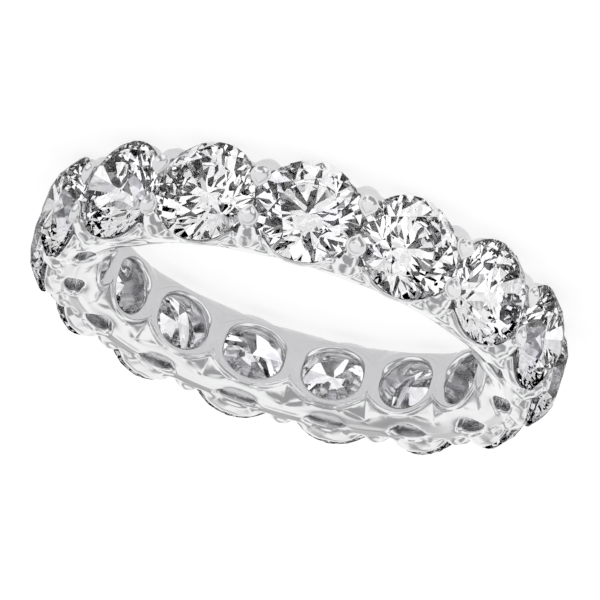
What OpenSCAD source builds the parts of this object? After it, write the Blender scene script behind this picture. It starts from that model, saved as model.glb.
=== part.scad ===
// Full eternity ring: round brilliant stones set edge to edge all the way round,
// held by shared prongs on a pierced gallery. The ring lies on its side.

/* [Ring] */
// Inside diameter of the ring
finger_d = 16.9; // [15:0.1:21]
// Number of stones round the ring
stone_count = 15; // [13:1:17]
// Height of the stones' girdles over the inside of the ring
girdle_h = 2.44; // [2.2:0.01:2.7]

/* [Stones] */
// Free gap between two neighbouring girdles
stone_gap = 0.08; // [0.06:0.01:0.14]
// Thickness of a stone's girdle at its thickest points
girdle_t = 0.13; // [0.11:0.01:0.17]
// Slope of the crown's main facets, in degrees
crown_slope = 34.5; // [30:0.5:38]
// Slope of the pavilion's main facets, in degrees
pavilion_slope = 40.8; // [39:0.1:42.5]
// Width of the table as a share of the stone's diameter
table_share = 0.56; // [0.5:0.01:0.64]
// Free gap between a stone and the metal round it
seat_gap = 0.02; // [0.015:0.005:0.03]

/* [Base band] */
// Half height of a collar, where its lobe is widest
collar_half = 1.4; // [1.25:0.01:1.5]
// Half height of the notch between two collars
notch_half = 0.6; // [0.45:0.01:0.8]
// Thickness of the collars
collar_t = 0.14; // [0.08:0.01:0.2]
// Width of the ledge behind a collar's edge
ledge_w = 0.1; // [0.05:0.01:0.15]
// Half length of an oval opening, round the ring
opening_half_l = 1.32; // [1.15:0.01:1.4]
// Half height of an oval opening
opening_half_h = 1.06; // [0.9:0.01:1.15]
// How much an opening widens from the band to the top of the walls, on each side
opening_flare = 0.37; // [0.2:0.01:0.5]

/* [Gallery] */
// Height of the walls' foot over the inside of the ring
wall_foot_h = 0.64; // [0.58:0.01:0.68]
// Half height of the walls at their foot
wall_foot_half = 1.72; // [1.6:0.01:1.85]
// Half height of the wall under the seat rails
wall_top_half = 1.98; // [1.9:0.01:2.02]
// Height of the walls over the inside of the ring
wall_h = 1.7; // [1.6:0.01:1.8]
// Height of the foot of the windows over the inside of the ring
window_foot_h = 0.73; // [0.7:0.01:0.85]
// Height of the top of the windows over the inside of the ring
window_top_h = 1.47; // [1.35:0.01:1.6]
// Height of the windows' pointed ends over the inside of the ring
window_end_h = 1.2; // [1.05:0.01:1.3]
// Half length of a window
window_half_l = 1.15; // [1:0.01:1.3]
// Half height of the groove between two cells at the back of the collars
groove_half = 0.85; // [0.7:0.01:1]
// Opening angle of that groove, in degrees
groove_angle = 142; // [132:1:148]
// Share of the collar's sloped back that a groove climbs before it runs out
groove_climb = 0.85; // [0.7:0.01:0.9]

/* [Seat rails] */
// How far a rail stands outside the stone's girdle
rail_lip = 0.03; // [0.01:0.01:0.06]
// Depth of the rails' top edge below the girdle's middle
rail_drop = 0.2; // [0.12:0.01:0.3]
// Height of the rails
rail_h = 0.7; // [0.5:0.01:0.8]
// Half height at which the rails end, inside the posts
rail_end_half = 0.95; // [0.9:0.01:1.1]
// How much narrower a rail is at its foot
rail_flare = 0.2; // [0.1:0.01:0.3]
// Flat left on the lowest point of each rail
rail_flat = 0.03; // [0.01:0.01:0.05]

/* [Prongs] */
// Metal between two stones at the middle of a prong
prong_root = 0.55; // [0.45:0.01:0.65]
// Radius of a prong's neck, just under its tip
neck_r = 0.43; // [0.36:0.01:0.44]
// Radius of a prong's round end
prong_r = 0.46; // [0.44:0.01:0.52]
// Height of the prongs' faces over the line where two girdle planes meet
prong_rise = 0.22; // [0.18:0.01:0.3]
// Thickness of a prong's tip, from its face down to its neck
prong_t = 0.3; // [0.24:0.01:0.36]
// Distance from the middle of a prong's round end to its pointed end
prong_point = 0.62; // [0.5:0.01:0.75]
// Radius of the post's shoulder under a prong
shoulder_r = 0.67; // [0.6:0.01:0.8]
// Radius of the post's foot
post_foot_r = 0.52; // [0.4:0.01:0.6]
// Length of the post below its shoulder
post_h = 0.6; // [0.45:0.01:0.7]
// Half height of the posts over their shoulders
shoulder_half = 2.06; // [1.95:0.01:2.15]
// Depth of the shoulders below the line where two girdle planes meet
shoulder_drop = 0.68; // [0.6:0.01:0.8]

/* [Hidden] */
$fn = 96;
// Turned shapes and cuts reach this far past the faces that they cross
over = 0.5;

cell = 360 / stone_count;
finger_r = finger_d / 2;
girdle_r = finger_r + girdle_h;
corner_r = girdle_r / cos(cell / 2);

// A stone, measured from the middle of its girdle along its own axis
stone_r = (girdle_r - girdle_t / 2) * tan(cell / 2) - stone_gap / 2 / cos(cell / 2);
table_r = stone_r * table_share;
crown_h = (stone_r - table_r) * tan(crown_slope);
star_r = (table_r * cos(22.5) + stone_r) / 2;
star_h = crown_h * (stone_r - star_r * cos(22.5)) / (stone_r - table_r);
culet_r = stone_r * 0.025;
pavilion_h = (stone_r - culet_r) * tan(pavilion_slope);
lower_r = stone_r * 0.22;
lower_h = pavilion_h * (stone_r - lower_r * cos(22.5)) / (stone_r - culet_r);
chord_r = stone_r * cos(11.25);
crown_wave = star_h * (stone_r - chord_r) / (chord_r - star_r * cos(11.25));
pavilion_wave = lower_h * (stone_r - chord_r) / (chord_r - lower_r * cos(11.25));

// The seat, a clearance round the stone
seat_r = stone_r + seat_gap;
cone_gap = seat_gap / sin(pavilion_slope);

// The walls and rails
collar_back_r = finger_r + collar_t;
ledge_half = collar_half + ledge_w;
foot_r = finger_r + wall_foot_h;
wall_top = finger_r + wall_h;
rail_top = girdle_r - rail_drop;
rail_foot = rail_top - rail_h;
rail_r = stone_r + rail_lip;
half_height = rail_r - rail_flat;
rail_foot_r = rail_r - rail_flare;

// The prongs
prong_z = sqrt(pow(stone_r, 2) - pow(girdle_r * tan(cell / 2) - prong_root / 2, 2));
prong_top = corner_r + prong_rise;
neck_top = prong_top - prong_t;
shoulder_at = corner_r - shoulder_drop;
shoulder_z = shoulder_half - shoulder_r;

// Points at a radius and a height, every 45 degrees from a first angle
function ring8(r, h, first) = [for (k = [0:7]) [r * cos(first + 45 * k), r * sin(first + 45 * k), h]];

// The girdle's edge: level at the sixteen corners, waved between them
function girdle_edge(h, wave) =
    [for (k = [0:31]) [stone_r * cos(11.25 * k), stone_r * sin(11.25 * k), h + (k % 2 == 1 ? wave : 0)]];

// A round brilliant with its girdle at the origin and its table up
module brilliant() {
    table = 0;
    star = 8;
    upper = 16;
    lower = 48;
    deep = 80;
    culet = 88;
    points = concat(
        ring8(table_r, girdle_t / 2 + crown_h, 0),
        ring8(star_r, girdle_t / 2 + star_h, 22.5),
        girdle_edge(girdle_t / 2, -crown_wave),
        girdle_edge(-girdle_t / 2, pavilion_wave),
        ring8(lower_r, -girdle_t / 2 - lower_h, 22.5),
        ring8(culet_r / cos(22.5), -girdle_t / 2 - pavilion_h, 22.5)
    );
    faces = concat(
        [[for (k = [7:-1:0]) table + k]],
        [for (k = [0:7]) [table + k, table + (k + 1) % 8, star + k]],
        [for (k = [0:7]) [table + k, star + k, upper + 4 * k, star + (k + 7) % 8]],
        [for (k = [0:7]) [star + k, upper + 4 * k + 2, upper + 4 * k + 1, upper + 4 * k]],
        [for (k = [0:7]) [star + k, upper + (4 * k + 4) % 32, upper + 4 * k + 3, upper + 4 * k + 2]],
        [for (k = [0:31]) [upper + k, upper + (k + 1) % 32, lower + (k + 1) % 32, lower + k]],
        [for (k = [0:7]) [deep + k, lower + 4 * k, lower + 4 * k + 1, lower + 4 * k + 2]],
        [for (k = [0:7]) [deep + k, lower + 4 * k + 2, lower + 4 * k + 3, lower + (4 * k + 4) % 32]],
        [for (k = [0:7]) [deep + k, culet + k, culet + (k + 7) % 8, deep + (k + 7) % 8, lower + 4 * k]],
        [[for (k = [0:7]) culet + k]]
    );
    polyhedron(points, faces);
}

// Puts a shape that points up at a radius of the ring, looking outwards
module outwards(angle, radius) {
    rotate([0, 0, angle]) translate([radius, 0, 0]) rotate([0, 90, 0]) children();
}

// The room that a stone takes, with its clearance
module seat() {
    outwards(0, girdle_r)
        rotate_extrude()
            polygon([
                [0, girdle_t / 2 + crown_h + over],
                [table_r + cone_gap, girdle_t / 2 + crown_h + over],
                [table_r + cone_gap, girdle_t / 2 + crown_h],
                [star_r + cone_gap, girdle_t / 2 + star_h],
                [seat_r, girdle_t / 2 + seat_gap],
                [seat_r, -girdle_t / 2],
                [lower_r + cone_gap, -girdle_t / 2 - lower_h],
                [0, -girdle_t / 2 - pavilion_h - cone_gap]
            ]);
}

// The oval opening in the band, widening up to the stone
module opening() {
    height = wall_h + over;
    widen = opening_flare / wall_h;
    first_l = opening_half_l - widen * over;
    last_l = opening_half_l + widen * height;
    translate([finger_r - over, 0, 0])
        rotate([0, 90, 0])
            scale([opening_half_h / opening_half_l, 1, 1])
                cylinder(h = height + over, r1 = first_l, r2 = last_l);
}

// A lens-shaped window through both walls of a cell
module window() {
    foot_rise = window_end_h - window_foot_h;
    top_rise = window_top_h - window_end_h;
    foot_arc = (pow(window_half_l, 2) + pow(foot_rise, 2)) / (2 * foot_rise);
    top_arc = (pow(window_half_l, 2) + pow(top_rise, 2)) / (2 * top_rise);
    translate([0, 0, -half_height - over])
        intersection() {
            translate([finger_r + window_foot_h + foot_arc, 0, 0])
                cylinder(h = 2 * (half_height + over), r = foot_arc);
            translate([finger_r + window_top_h - top_arc, 0, 0])
                cylinder(h = 2 * (half_height + over), r = top_arc);
        }
}

// Turned blank of the two walls, from the back of the collars to the rails
module wall_blank() {
    rotate_extrude()
        polygon([
            [collar_back_r, -ledge_half],
            [foot_r, -wall_foot_half],
            [wall_top, -wall_top_half],
            [wall_top, wall_top_half],
            [foot_r, wall_foot_half],
            [collar_back_r, ledge_half]
        ]);
}

// Groove between two cells, on the upper side of the ring
module groove() {
    run = groove_climb * (foot_r - collar_back_r);
    end_half = ledge_half + groove_climb * (wall_foot_half - ledge_half);
    rise = end_half - groove_half;
    half_w = 0.95 * collar_back_r * tan(cell / 2);
    reach = half_w / tan(groove_angle / 2);
    translate([collar_back_r + run, 0, end_half])
        rotate([0, atan2(run, rise), 0])
            translate([0, 0, -norm([run, rise]) - over])
                linear_extrude(height = norm([run, rise]) + 2 * over)
                    polygon([[0, 0], [-reach, half_w], [-reach, -half_w]]);
}

// The walls with their windows and grooves
module walls() {
    difference() {
        wall_blank();
        each_junction() groove();
        each_cell() window();
    }
}

// Outline of a cell's collar: two round discs whose edges cross at the notches
module lobe() {
    half_l = finger_r * tan(cell / 2);
    rise = collar_half - notch_half;
    arc = (pow(half_l, 2) + pow(rise, 2)) / (2 * rise);
    intersection() {
        translate([finger_r - over, 0, collar_half - arc])
            rotate([0, 90, 0]) cylinder(h = 3 * over, r = arc);
        translate([finger_r - over, 0, arc - collar_half])
            rotate([0, 90, 0]) cylinder(h = 3 * over, r = arc);
    }
}

// Collars of all the cells
module collars() {
    intersection() {
        rotate_extrude()
            translate([finger_r, -collar_half - over])
                square([collar_t + over / 4, 2 * (collar_half + over)]);
        each_cell() lobe();
    }
}

// Seat rails of a cell: a crescent under the stone's girdle on each side of the ring
module rails() {
    difference() {
        intersection() {
            translate([rail_foot, 0, 0])
                rotate([0, 90, 0])
                    rotate_extrude()
                        polygon([
                            [0, 0],
                            [rail_foot_r, 0],
                            [rail_r, rail_h * 0.6],
                            [rail_r, rail_h],
                            [0, rail_h]
                        ]);
            translate([0, -rail_r, -half_height]) cube([prong_top, 2 * rail_r, 2 * half_height]);
        }
        translate([0, -rail_r - over, -rail_end_half])
            cube([prong_top, 2 * (rail_r + over), 2 * rail_end_half]);
    }
}

// Post of one prong, turned about an axis that leans in towards its tip
module post() {
    lean = atan2(shoulder_z - prong_z, neck_top - shoulder_at);
    neck = norm([shoulder_z - prong_z, neck_top - shoulder_at]);
    translate([shoulder_at, 0, shoulder_z])
        rotate([0, 90 + lean, 0])
            rotate_extrude()
                polygon([[0, -post_h], [post_foot_r, -post_h], [shoulder_r, 0], [neck_r, neck], [0, neck]]);
}

// Tip of one prong: round outside, pointed towards the place where two stones meet
module tip() {
    side = prong_r * cos(45);
    translate([neck_top - over / 4, 0, prong_z])
        rotate([0, 90, 0])
            linear_extrude(height = prong_t + over / 4) {
                circle(r = prong_r);
                polygon([[prong_point, 0], [side, side], [0, 0], [side, -side]]);
            }
}

module on_both_sides() {
    children();
    mirror([0, 0, 1]) children();
}

module each_cell() {
    for (i = [1:stone_count])
        rotate([0, 0, (i - 0.5) * cell]) children();
}

module each_junction() {
    for (i = [1:stone_count])
        rotate([0, 0, i * cell]) on_both_sides() children();
}

module setting() {
    color("silver")
        translate([0, 0, half_height])
            difference() {
                union() {
                    walls();
                    collars();
                    each_cell() rails();
                    each_junction() {
                        post();
                        tip();
                    }
                }
                each_cell() {
                    seat();
                    opening();
                }
            }
}

module stone(number) {
    color("white")
        translate([0, 0, half_height]) outwards((number - 0.5) * cell, girdle_r) brilliant();
}

setting();
for (i = [1:stone_count])
    stone(i);
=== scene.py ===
import bpy
import math
import time
from mathutils import Matrix, Vector
from mathutils.bvhtree import BVHTree
from mathutils.geometry import barycentric_transform


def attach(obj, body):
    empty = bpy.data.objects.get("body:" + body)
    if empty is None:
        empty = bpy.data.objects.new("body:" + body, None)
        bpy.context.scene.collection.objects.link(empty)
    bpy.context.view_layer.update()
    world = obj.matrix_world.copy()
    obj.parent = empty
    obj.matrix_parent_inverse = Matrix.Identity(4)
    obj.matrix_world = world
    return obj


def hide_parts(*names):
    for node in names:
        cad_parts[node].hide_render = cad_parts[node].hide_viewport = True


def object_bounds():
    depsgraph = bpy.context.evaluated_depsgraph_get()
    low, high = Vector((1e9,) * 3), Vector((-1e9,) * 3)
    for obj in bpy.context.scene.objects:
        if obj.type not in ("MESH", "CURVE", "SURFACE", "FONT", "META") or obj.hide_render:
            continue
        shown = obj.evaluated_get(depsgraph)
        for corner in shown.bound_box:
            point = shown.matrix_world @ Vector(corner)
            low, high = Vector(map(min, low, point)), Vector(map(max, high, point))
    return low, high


started = time.time()
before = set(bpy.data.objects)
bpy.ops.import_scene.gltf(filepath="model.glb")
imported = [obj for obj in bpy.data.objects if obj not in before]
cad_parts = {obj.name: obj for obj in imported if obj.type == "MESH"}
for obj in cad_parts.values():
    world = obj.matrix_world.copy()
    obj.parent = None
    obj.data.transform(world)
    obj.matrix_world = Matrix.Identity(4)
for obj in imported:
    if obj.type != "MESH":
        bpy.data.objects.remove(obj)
cadLow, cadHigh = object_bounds()
halfHeight = (cadLow.z + cadHigh.z) / 2
scene = bpy.context.scene
print("frame loaded,", len(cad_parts), "nodes")


def sinceStart():
    return round(time.time() - started, 1)


def only(piece):
    bpy.ops.object.select_all(action="DESELECT")
    piece.select_set(True)
    bpy.context.view_layer.objects.active = piece


def applied(piece, kind, **values):
    only(piece)
    modifier = piece.modifiers.new(kind.lower(), kind)
    for key, value in values.items():
        setattr(modifier, key, value)
    bpy.ops.object.modifier_apply(modifier=modifier.name)


def cutAt(piece, point, normal, fill, dropFront):
    only(piece)
    bpy.ops.object.mode_set(mode="EDIT")
    bpy.ops.mesh.select_all(action="SELECT")
    bpy.ops.mesh.bisect(
        plane_co=point, plane_no=normal, use_fill=fill,
        clear_outer=dropFront, clear_inner=not dropFront,
    )
    bpy.ops.object.mode_set(mode="OBJECT")


def nonePicked(piece, kind):
    only(piece)
    bpy.ops.object.mode_set(mode="EDIT")
    bpy.ops.mesh.select_mode(type=kind)
    bpy.ops.mesh.select_all(action="DESELECT")
    bpy.ops.object.mode_set(mode="OBJECT")


def acrossAt(degrees):
    a = math.radians(degrees)
    return Vector((-math.sin(a), math.cos(a), 0))


def polar(point):
    return math.hypot(point.x, point.y), math.degrees(math.atan2(point.y, point.x))


def smoothStep(x, low, high):
    t = max(0.0, min(1.0, (x - low) / (high - low)))
    return t * t * (3 - 2 * t)


# --- camera, at the photograph's angle, and rolled as the ring is there

cameraLook = {
    "right": Vector((-0.16757, -0.94728, -0.2731)),
    "down": Vector((-0.38392, -0.19245, 0.90309)),
    "away": Vector((-0.90803, 0.25618, -0.33143)),
    "distance": 0.6,
    "frameWidth": 0.02557,
    "offRight": 0.0000153,
    "offDown": 0.0000494,
    "sensor": 36,
    "clip": (0.01, 10),
}


def makeCamera(look):
    data = bpy.data.cameras.new("camera")
    camera = bpy.data.objects.new("camera", data)
    scene.collection.objects.link(camera)
    data.sensor_width = look["sensor"]
    data.lens = look["sensor"] * look["distance"] / look["frameWidth"]
    data.clip_start, data.clip_end = look["clip"]
    right, up, back = look["right"], -look["down"], -look["away"]
    place = Vector((0, 0, halfHeight)) + back * look["distance"]
    place = place + right * look["offRight"] - up * look["offDown"]
    turn = Matrix((right, up, back)).transposed().to_4x4()
    camera.matrix_world = Matrix.Translation(place) @ turn
    scene.camera = camera


makeCamera(cameraLook)
print("camera made")


# --- the setting, polished from a copy of its solid
# Its sizes are in millimetres, with the ring's middle at the origin. A quarter of one cell
# is shaped, and the whole ring is made from it. Places in the cell are r from the axis,
# t along the ring from the middle of a post, and z above the ring's middle.

settingLook = {
    "stones": 15,
    "fingerR": 8.45,
    "prongTop": 11.353,
    "prongFoot": 0.2,
    "dish": [(0.09, 0), (0.1, 0.11), (0.12, 0.05)],
    "ovalL": 1.32,
    "ovalH": 1.06,
    "ovalBevel": 0.3,
    "ovalSteps": 7,
    "rawFrom": 5,
    "rawAcross": (-0.25, 0.62),
    "rawBelow": -0.4,
    "voxel": 0.025,
    "girdleR": 10.89,
    "stoneR": 2.26,
    "crown": 34.5,
    "pavilion": 40.8,
    "webFill": 0.2,
    "webGap": (0.06, 0.25),
    "shoulderDrop": 0.1,
    "smoothBy": 0.5,
    "smooth": 16,
    "smoothZones": {"posts": 220, "flanks": 900, "collars": 120},
    "swellPosts": 0.035,
    "leastWeight": 0.01,
    "triangles": 3250,
    "weld": 0.0005,
    "cellWeld": 0.002,
    "snap": 0.004,
    "seam": 0.003,
    "rimSlack": (0.003, 0.02),
}
# Each pair is where a zone's weight starts to change and where it has changed
zones = {
    "posts": {
        "inner": (9.1, 9.7), "outer": (10.9, 11.15), "side": (1.0, 1.5), "foot": (0.95, 1.35),
    },
    "shoulders": {
        "inner": (9.9, 10.2), "outer": (10.8, 11), "side": (0.9, 1.2), "foot": (1.2, 1.9),
    },
    "webs": {
        "inner": (9.3, 9.6), "outer": (10.45, 10.7), "side": (1.1, 1.5), "foot": (0.9, 1.2),
    },
    "flanks": {
        "inner": (8.6, 8.72), "outer": (9.1, 9.35), "middle": (0.02, 0.16), "foot": (0.8, 1),
    },
    "collars": {"outer": (8.6, 8.75), "oval": (1.24, 1.36)},
}
cell = 360 / settingLook["stones"]
halfCell = math.radians(cell / 2)


def solidCopy(node, name):
    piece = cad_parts[node].copy()
    piece.data = piece.data.copy()
    piece.name = name
    piece.data.name = name
    piece.parent = None
    piece.matrix_world = Matrix.Identity(4)
    scene.collection.objects.link(piece)
    piece.data.materials.clear()
    return piece


def scaledTo(piece, scale, height):
    piece.scale = (scale, scale, scale)
    piece.location = (0, 0, height)
    only(piece)
    bpy.ops.object.transform_apply(location=True, scale=True)


def ovalShare(look, t, z):
    return math.hypot(t / look["ovalL"], z / look["ovalH"])


# A little more than the quarter, so that the smoothing has neighbours at its edges
def rawQuarter(piece, look):
    back, front = look["rawAcross"]
    cutAt(piece, (look["rawFrom"], 0, 0), (1, 0, 0), True, False)
    cutAt(piece, (0, 0, 0), acrossAt(cell * front), True, True)
    cutAt(piece, (0, 0, 0), acrossAt(cell * back), True, False)
    cutAt(piece, (0, 0, look["rawBelow"]), (0, 0, 1), True, False)


def dishProng(piece, look):
    nonePicked(piece, "FACE")
    mesh = piece.data
    for face in mesh.polygons:
        face.select = face.center.z > look["prongFoot"] and all(
            abs(mesh.vertices[v].co.x - look["prongTop"]) < look["snap"] for v in face.vertices
        )
    bpy.ops.object.mode_set(mode="EDIT")
    bpy.ops.mesh.dissolve_faces()
    for rim, sink in look["dish"]:
        bpy.ops.mesh.inset(thickness=rim, depth=0)
        bpy.ops.transform.translate(value=(-sink, 0, 0))
    bpy.ops.object.mode_set(mode="OBJECT")


def bevelOval(piece, look):
    nonePicked(piece, "EDGE")
    mesh = piece.data
    slackR, slackOval = look["rimSlack"]

    def onRim(v):
        point = mesh.vertices[v].co
        r, a = polar(point)
        t = r * math.tan(math.radians(a - cell / 2))
        inBore = abs(r - look["fingerR"]) < slackR
        return inBore and abs(ovalShare(look, t, point.z) - 1) < slackOval

    for edge in mesh.edges:
        edge.select = all(onRim(v) for v in edge.vertices)
    bpy.ops.object.mode_set(mode="EDIT")
    bpy.ops.mesh.bevel(offset=look["ovalBevel"], segments=look["ovalSteps"], affect="EDGES")
    bpy.ops.object.mode_set(mode="OBJECT")


def zoneWeight(look, zone, r, t, z):
    w = 1 - smoothStep(r, *zone["outer"])
    if "inner" in zone:
        w *= smoothStep(r, *zone["inner"])
    if "side" in zone:
        w *= 1 - smoothStep(t, *zone["side"])
    if "middle" in zone:
        w *= smoothStep(t, *zone["middle"])
    if "foot" in zone:
        w *= smoothStep(z, *zone["foot"])
    if "oval" in zone:
        w *= 1 - smoothStep(ovalShare(look, r * halfCell - t, z), *zone["oval"])
    return w


def stoneGap(look, r, t, z):
    a = halfCell - t / r
    rise = r * math.cos(a) - look["girdleR"]
    slope = math.radians(look["pavilion"] if rise < 0 else look["crown"])
    wide = math.hypot(r * math.sin(a), z)
    return (wide - look["stoneR"]) * math.sin(slope) + abs(rise) * math.cos(slope)


def weighed(piece, look, name):
    old = piece.vertex_groups.get(name)
    if old:
        piece.vertex_groups.remove(old)
    group = piece.vertex_groups.new(name=name)
    for v in piece.data.vertices:
        r, a = polar(v.co)
        t = abs(r * math.radians(a))
        w = zoneWeight(look, zones[name], r, t, v.co.z)
        if name == "webs":
            w *= smoothStep(stoneGap(look, r, t, v.co.z), *look["webGap"])
        if w > look["leastWeight"]:
            group.add([v.index], w, "REPLACE")


# The webs between two stones are filled: swollen, remeshed and drawn in again
def fillWebs(piece, look):
    applied(piece, "REMESH", mode="VOXEL", voxel_size=look["voxel"])
    for swell in (look["webFill"], -look["webFill"]):
        weighed(piece, look, "webs")
        applied(piece, "DISPLACE", strength=swell, mid_level=0, vertex_group="webs")
        applied(piece, "REMESH", mode="VOXEL", voxel_size=look["voxel"])


def smoothed(piece, look):
    weighed(piece, look, "shoulders")
    applied(
        piece, "DISPLACE", direction="Z", strength=-look["shoulderDrop"], mid_level=0,
        vertex_group="shoulders",
    )
    for name in look["smoothZones"]:
        weighed(piece, look, name)
    applied(piece, "SMOOTH", factor=look["smoothBy"], iterations=look["smooth"])
    for name, rounds in look["smoothZones"].items():
        applied(
            piece, "SMOOTH", factor=look["smoothBy"], iterations=rounds, vertex_group=name,
        )
    applied(piece, "DISPLACE", strength=look["swellPosts"], mid_level=0, vertex_group="posts")


def exactQuarter(piece):
    cutAt(piece, (0, 0, 0), acrossAt(cell / 2), False, True)
    cutAt(piece, (0, 0, 0), acrossAt(0), False, False)
    cutAt(piece, (0, 0, 0), (0, 0, 1), False, False)


# The dense quarter is kept, because the final mesh takes its normals from it
def fineSurface(mesh):
    mesh.calc_loop_triangles()
    points = [v.co.copy() for v in mesh.vertices]
    normals = [v.normal.copy() for v in mesh.vertices]
    triangles = [tuple(t.vertices) for t in mesh.loop_triangles]
    return BVHTree.FromPolygons(points, triangles), points, normals, triangles


def thinned(piece, look, count):
    applied(piece, "DECIMATE", decimate_type="COLLAPSE", ratio=look["triangles"] / count)
    for v in piece.data.vertices:
        r, a = polar(v.co)
        if abs(v.co.z) < look["snap"]:
            v.co.z = 0
        if abs(v.co.y) < look["snap"]:
            v.co.y = 0
        if abs(r * math.sin(math.radians(a - cell / 2))) < look["snap"]:
            v.co.x = r * math.cos(halfCell)
            v.co.y = r * math.sin(halfCell)


def wholeRing(piece, look):
    for axis in ((False, False, True), (False, True, False)):
        applied(
            piece, "MIRROR", use_axis=axis, use_mirror_merge=True, merge_threshold=look["weld"],
        )
    turn = bpy.data.objects.new("turn", None)
    scene.collection.objects.link(turn)
    turn.rotation_euler = (0, 0, math.radians(cell))
    applied(
        piece, "ARRAY", count=look["stones"], use_relative_offset=False,
        use_constant_offset=False, use_object_offset=True, offset_object=turn,
        use_merge_vertices=True, use_merge_vertices_cap=True, merge_threshold=look["cellWeld"],
    )
    bpy.data.objects.remove(turn)


# Each point is folded back into the quarter, and stays even across the mirror planes
def keepNormals(piece, fine, look):
    tree, points, normals, triangles = fine
    mesh = piece.data
    mesh.shade_smooth()
    side = acrossAt(cell / 2)
    kept = []
    for v in mesh.vertices:
        r, a = polar(v.co)
        turns = round(a / cell)
        b = math.radians(abs(a - turns * cell))
        folded = Vector((r * math.cos(b), r * math.sin(b), abs(v.co.z)))
        place, _, index, _ = tree.find_nearest(folded)
        corners = [points[i] for i in triangles[index]]
        bent = [normals[i] for i in triangles[index]]
        normal = barycentric_transform(place, *corners, *bent)
        if folded.z < look["weld"]:
            normal.z = 0
        if abs(folded.y) < look["weld"]:
            normal.y = 0
        if abs(folded.dot(side)) < look["seam"]:
            normal -= side * normal.dot(side)
        if a < turns * cell:
            normal.y = -normal.y
        if v.co.z < 0:
            normal.z = -normal.z
        normal.rotate(Matrix.Rotation(math.radians(turns * cell), 3, "Z"))
        kept.append(normal.normalized())
    mesh.normals_split_custom_set_from_vertices(kept)


def makeSetting(look):
    piece = solidCopy("setting", "polished_setting")
    scaledTo(piece, 1000, -halfHeight * 1000)
    bpy.ops.object.mode_set(mode="EDIT")
    bpy.ops.mesh.select_all(action="SELECT")
    bpy.ops.mesh.remove_doubles(threshold=look["weld"])
    bpy.ops.object.mode_set(mode="OBJECT")
    rawQuarter(piece, look)
    dishProng(piece, look)
    bevelOval(piece, look)
    fillWebs(piece, look)
    smoothed(piece, look)
    exactQuarter(piece)
    fine = fineSurface(piece.data)
    count = len(fine[3])
    print("quarter cell,", count, "triangles,", sinceStart(), "s")
    thinned(piece, look, count)
    wholeRing(piece, look)
    keepNormals(piece, fine, look)
    scaledTo(piece, 0.001, halfHeight)
    print("setting,", len(piece.data.polygons), "faces,", sinceStart(), "s")
    return piece


setting = makeSetting(settingLook)
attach(setting, "root")
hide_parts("setting")


# --- materials

wornLook = {
    "cloudDetail": 3,
    "scratchScale": (9000, 9000, 900),
    "scratchTurn": (0.3, 0.5, 0.2),
    "scratchDetail": 4,
}
metalLook = {
    "color": (0.8, 0.8, 0.805, 1),
    "dull": (0.75, 0.75, 0.76, 1),
    "cloudScale": 420,
    "cloudSpan": (0.3, 0.7),
    "rough": (0.1, 0.15),
    "scratchBump": 0.04,
    "scratchDepth": 0.00001,
}
stoneLook = {
    "clear": (1, 1, 1, 1),
    "tint": (0.93, 0.925, 1, 1),
    "patchScale": 700,
    "patchSpan": (0.5, 0.66),
    "ior": 2.417,
}


def newMaterial(name):
    material = bpy.data.materials.new(name)
    material.use_nodes = True
    tree = material.node_tree
    return material, tree, tree.nodes["Principled BSDF"]


def noiseOn(tree, coordinates, detail):
    noise = tree.nodes.new("ShaderNodeTexNoise")
    noise.inputs["Detail"].default_value = detail
    tree.links.new(coordinates, noise.inputs["Vector"])
    return noise


def finelyWorn(look):
    group = bpy.data.node_groups.new("finely_worn", "ShaderNodeTree")
    group.interface.new_socket("Scale", in_out="INPUT", socket_type="NodeSocketFloat")
    group.interface.new_socket("Clouds", in_out="OUTPUT", socket_type="NodeSocketFloat")
    group.interface.new_socket("Scratches", in_out="OUTPUT", socket_type="NodeSocketFloat")
    nodes, links = group.nodes, group.links
    inward, outward = nodes.new("NodeGroupInput"), nodes.new("NodeGroupOutput")
    place = nodes.new("ShaderNodeTexCoord").outputs["Object"]
    clouds = noiseOn(group, place, look["cloudDetail"])
    links.new(inward.outputs["Scale"], clouds.inputs["Scale"])
    stretch = nodes.new("ShaderNodeMapping")
    stretch.inputs["Scale"].default_value = look["scratchScale"]
    stretch.inputs["Rotation"].default_value = look["scratchTurn"]
    links.new(place, stretch.inputs["Vector"])
    scratches = noiseOn(group, stretch.outputs["Vector"], look["scratchDetail"])
    scratches.inputs["Scale"].default_value = 1
    links.new(clouds.outputs["Fac"], outward.inputs["Clouds"])
    links.new(scratches.outputs["Fac"], outward.inputs["Scratches"])
    return group


worn = finelyWorn(wornLook)


def wornNode(tree, scale):
    node = tree.nodes.new("ShaderNodeGroup")
    node.node_tree = worn
    node.inputs["Scale"].default_value = scale
    return node


def ramped(tree, value, span, onto=(0, 1), kind="LINEAR"):
    ramp = tree.nodes.new("ShaderNodeMapRange")
    ramp.interpolation_type = kind
    ramp.inputs["From Min"].default_value = span[0]
    ramp.inputs["From Max"].default_value = span[1]
    ramp.inputs["To Min"].default_value = onto[0]
    ramp.inputs["To Max"].default_value = onto[1]
    tree.links.new(value, ramp.inputs["Value"])
    return ramp.outputs["Result"]


# Either color is a plain one or another node's
def mixedColor(tree, factor, first, second):
    mix = tree.nodes.new("ShaderNodeMix")
    mix.data_type = "RGBA"
    tree.links.new(factor, mix.inputs["Factor"])
    for socket, color in (("A", first), ("B", second)):
        if isinstance(color, tuple):
            mix.inputs[socket].default_value = color
        else:
            tree.links.new(color, mix.inputs[socket])
    return mix.outputs["Result"]


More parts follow.
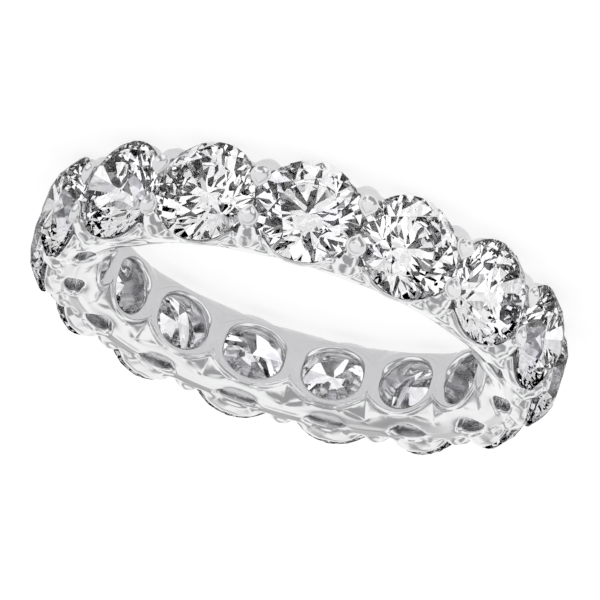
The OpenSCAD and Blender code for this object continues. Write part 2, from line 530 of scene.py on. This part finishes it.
def makeMetal(look):
    material, tree, surface = newMaterial("white_gold_polished")
    wear = wornNode(tree, look["cloudScale"]).outputs
    color = mixedColor(tree, wear["Clouds"], look["color"], look["dull"])
    tree.links.new(color, surface.inputs["Base Color"])
    surface.inputs["Metallic"].default_value = 1
    rough = ramped(tree, wear["Clouds"], look["cloudSpan"], look["rough"])
    tree.links.new(rough, surface.inputs["Roughness"])
    bump = tree.nodes.new("ShaderNodeBump")
    bump.inputs["Strength"].default_value = look["scratchBump"]
    bump.inputs["Distance"].default_value = look["scratchDepth"]
    tree.links.new(wear["Scratches"], bump.inputs["Height"])
    tree.links.new(bump.outputs["Normal"], surface.inputs["Normal"])
    return material


def makeStone(look):
    material, tree, surface = newMaterial("diamond_clear")
    wear = wornNode(tree, look["patchScale"]).outputs
    patches = ramped(tree, wear["Clouds"], look["patchSpan"])
    color = mixedColor(tree, patches, look["clear"], look["tint"])
    tree.links.new(color, surface.inputs["Base Color"])
    surface.inputs["Roughness"].default_value = 0
    surface.inputs["IOR"].default_value = look["ior"]
    surface.inputs["Transmission Weight"].default_value = 1
    return material


metal = makeMetal(metalLook)
diamond = makeStone(stoneLook)
setting.data.materials.append(metal)
for name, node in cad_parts.items():
    material = metal if name == "setting" else diamond
    for used in node.material_slots:
        used.material = material
print("materials set")


# --- floor and light

white = (1, 1, 1, 1)
floorLook = {
    "size": 1.2,
    "color": (0.24, 0.24, 0.245, 1),
    "worn": (0.25, 0.25, 0.255, 1),
    "cloudScale": 6,
    "glow": 0.8,
}
skyLook = {
    "strength": 1.0,
    "plain": (1.05, 1.05, 1.06, 1),
    "flagScale": 4.2,
    "flagEdge": (0.485, 0.52),
    "flagDark": (0, 0, 0, 1),
    "flagBright": (1.42, 1.42, 1.42, 1),
}


def makeFloor(look):
    bpy.ops.mesh.primitive_plane_add(size=look["size"])
    floor = bpy.context.object
    floor.name = "floor"
    material, tree, surface = newMaterial("floor_pale")
    clouds = wornNode(tree, look["cloudScale"]).outputs["Clouds"]
    color = mixedColor(tree, clouds, look["color"], look["worn"])
    tree.links.new(color, surface.inputs["Base Color"])
    surface.inputs["Roughness"].default_value = 1
    surface.inputs["Specular IOR Level"].default_value = 0
    surface.inputs["Emission Color"].default_value = white
    surface.inputs["Emission Strength"].default_value = look["glow"]
    floor.data.materials.append(material)


def softPattern(tree, coordinates, scale, edge, dark, bright):
    noise = noiseOn(tree, coordinates, 0)
    noise.inputs["Scale"].default_value = scale
    share = ramped(tree, noise.outputs["Fac"], edge, kind="SMOOTHSTEP")
    return mixedColor(tree, share, dark, bright)


# The stones see hard-edged dark flags, the floor even light and the camera white
def makeSky(look):
    world = bpy.data.worlds.new("studio")
    scene.world = world
    world.use_nodes = True
    tree = world.node_tree
    background = tree.nodes["Background"]
    toward = tree.nodes.new("ShaderNodeTexCoord").outputs["Generated"]
    path = tree.nodes.new("ShaderNodeLightPath").outputs
    color = softPattern(
        tree, toward, look["flagScale"], look["flagEdge"], look["flagDark"], look["flagBright"]
    )
    color = mixedColor(tree, path["Is Diffuse Ray"], color, look["plain"])
    color = mixedColor(tree, path["Is Camera Ray"], color, white)
    tree.links.new(color, background.inputs["Color"])
    background.inputs["Strength"].default_value = look["strength"]


tentLook = {
    "radius": 0.5,
    "segments": 48,
    "rings": 24,
    "lift": 0.000004,
    "scale": 3.8,
    "edge": (0.37, 0.62),
    "dark": (0.4, 0.4, 0.405, 1),
    "bright": (1.12, 1.12, 1.12, 1),
    "underScale": 16,
    "underDark": (0.84, 0.84, 0.845, 1),
    "underBright": (1.02, 1.02, 1.02, 1),
    "shadeEdge": (0.0135, 0.0075),
    "shade": (0.66, 0.66, 0.665, 1),
}


def tentCloth(look):
    material = bpy.data.materials.new("tent_cloth")
    material.use_nodes = True
    tree = material.node_tree
    tree.nodes.clear()
    nodes, links = tree.nodes, tree.links
    place = nodes.new("ShaderNodeTexCoord").outputs["Object"]
    above = softPattern(tree, place, look["scale"], look["edge"], look["dark"], look["bright"])
    under = softPattern(
        tree, place, look["underScale"], look["edge"], look["underDark"], look["underBright"]
    )
    away = nodes.new("ShaderNodeVectorMath")
    away.operation = "LENGTH"
    links.new(place, away.inputs[0])
    inside = ramped(tree, away.outputs["Value"], look["shadeEdge"], kind="SMOOTHSTEP")
    under = mixedColor(tree, inside, under, look["shade"])
    split = nodes.new("ShaderNodeSeparateXYZ")
    links.new(place, split.inputs["Vector"])
    low = nodes.new("ShaderNodeMath")
    low.operation = "LESS_THAN"
    low.inputs[1].default_value = 2 * look["lift"]
    links.new(split.outputs["Z"], low.inputs[0])
    glow = nodes.new("ShaderNodeEmission")
    links.new(mixedColor(tree, low.outputs["Value"], above, under), glow.inputs["Color"])
    clear = nodes.new("ShaderNodeBsdfTransparent")
    path = nodes.new("ShaderNodeLightPath").outputs
    mix = nodes.new("ShaderNodeMixShader")
    links.new(path["Is Transmission Ray"], mix.inputs["Fac"])
    links.new(glow.outputs["Emission"], mix.inputs[1])
    links.new(clear.outputs["BSDF"], mix.inputs[2])
    links.new(mix.outputs["Shader"], nodes.new("ShaderNodeOutputMaterial").inputs["Surface"])
    return material


# Blender makes a sphere's faces in another order on each run, which would change the noise
def inOrder(mesh):
    points = [v.co.copy() for v in mesh.vertices]
    faces = []
    for face in mesh.polygons:
        corners = list(face.vertices)
        first = corners.index(min(corners))
        faces.append(corners[first:] + corners[:first])
    mesh.clear_geometry()
    mesh.from_pydata(points, [], sorted(faces))
    mesh.update()


# A tent of soft grey cloth that only the metal mirrors, so the stones stay crisp.
# Its floor is a little darker inside the ring, as in the ring's own shadow.
def makeTent(look, pieces):
    bpy.ops.object.select_all(action="DESELECT")
    bpy.ops.mesh.primitive_uv_sphere_add(
        radius=look["radius"], segments=look["segments"], ring_count=look["rings"]
    )
    tent = bpy.context.object
    tent.name = "tent"
    cutAt(tent, (0, 0, look["lift"]), (0, 0, 1), True, False)
    inOrder(tent.data)
    tent.data.materials.append(tentCloth(look))
    tent.visible_camera = False
    tent.visible_diffuse = False
    tent.visible_transmission = False
    tent.visible_volume_scatter = False
    tent.visible_shadow = False
    lit = bpy.data.collections.new("lit_by_tent")
    for piece in pieces:
        lit.objects.link(piece)
    tent.light_linking.receiver_collection = lit


makeFloor(floorLook)
makeSky(skyLook)
makeTent(tentLook, [setting])
scene.view_settings.view_transform = "Standard"
scene.cycles.max_bounces = 24
scene.cycles.transmission_bounces = 20
scene.cycles.glossy_bounces = 8
scene.cycles.diffuse_bounces = 3
scene.cycles.use_denoising = True
print("floor and light made")

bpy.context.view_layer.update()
print("done,", sinceStart(), "s")
